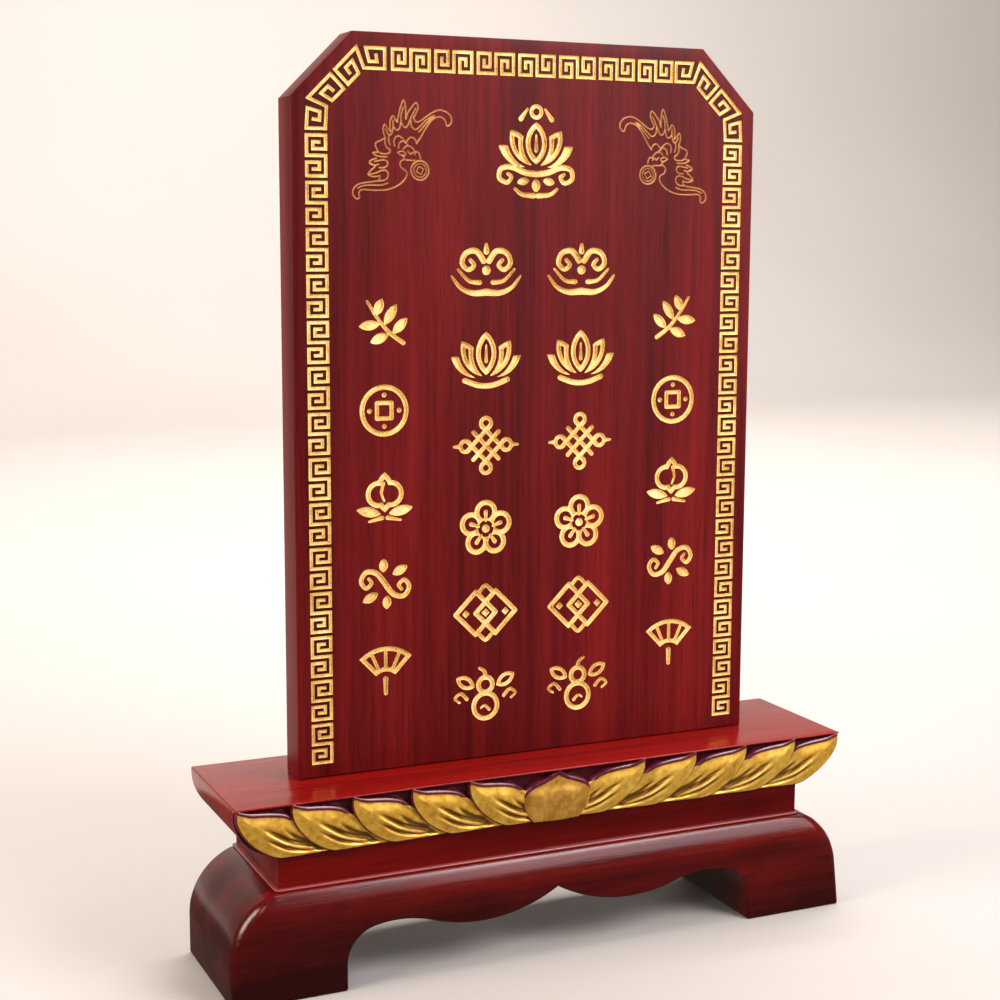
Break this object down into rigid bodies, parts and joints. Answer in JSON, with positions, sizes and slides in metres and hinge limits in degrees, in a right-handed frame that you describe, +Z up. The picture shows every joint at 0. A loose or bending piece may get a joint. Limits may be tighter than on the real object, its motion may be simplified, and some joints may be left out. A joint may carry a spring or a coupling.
{
  "type": "altar tablet",
  "caption": "Upright wooden altar tablet: a lacquered board with cut upper corners that lifts out of a tiered base with a gilt lotus-petal strip, recessed waist and cusped bulging stand.",
  "frame": {"origin": "middle of the base's footprint, on the surface that it stands on", "axes": "+X to the right as seen from the front, +Y to the back, +Z up; the tablet's face looks along -Y"},
  "size_m": [0.325, 0.075, 0.4348],
  "materials": {
    "board_lacquer": "satin red-brown lacquer over straight grain",
    "base_lacquer": "glossy dark red lacquer",
    "gilding": "gold paint over carved wood",
    "dowel_wood": "bare beech",
    "screw_steel": "plain steel"
  },
  "bodies": {
    "base": {"top_plank": "base_lacquer", "lotus_moulding": "gilding", "waist_board": "base_lacquer", "apron_front": "base_lacquer", "apron_back": "base_lacquer", "foot_block_left": "base_lacquer", "foot_block_right": "base_lacquer", "waist_dowels": "dowel_wood", "front_apron_dowels": "dowel_wood", "back_apron_dowels": "dowel_wood", "plank_screws": "screw_steel"},
    "tablet": {"tablet_board": "board_lacquer"}
  },
  "joints": [
    {"name": "tablet_lift", "type": "slide", "parent": "base", "child": "tablet", "axis": [0, 0, 1], "range_m": [0, 0.018]}
  ]
}
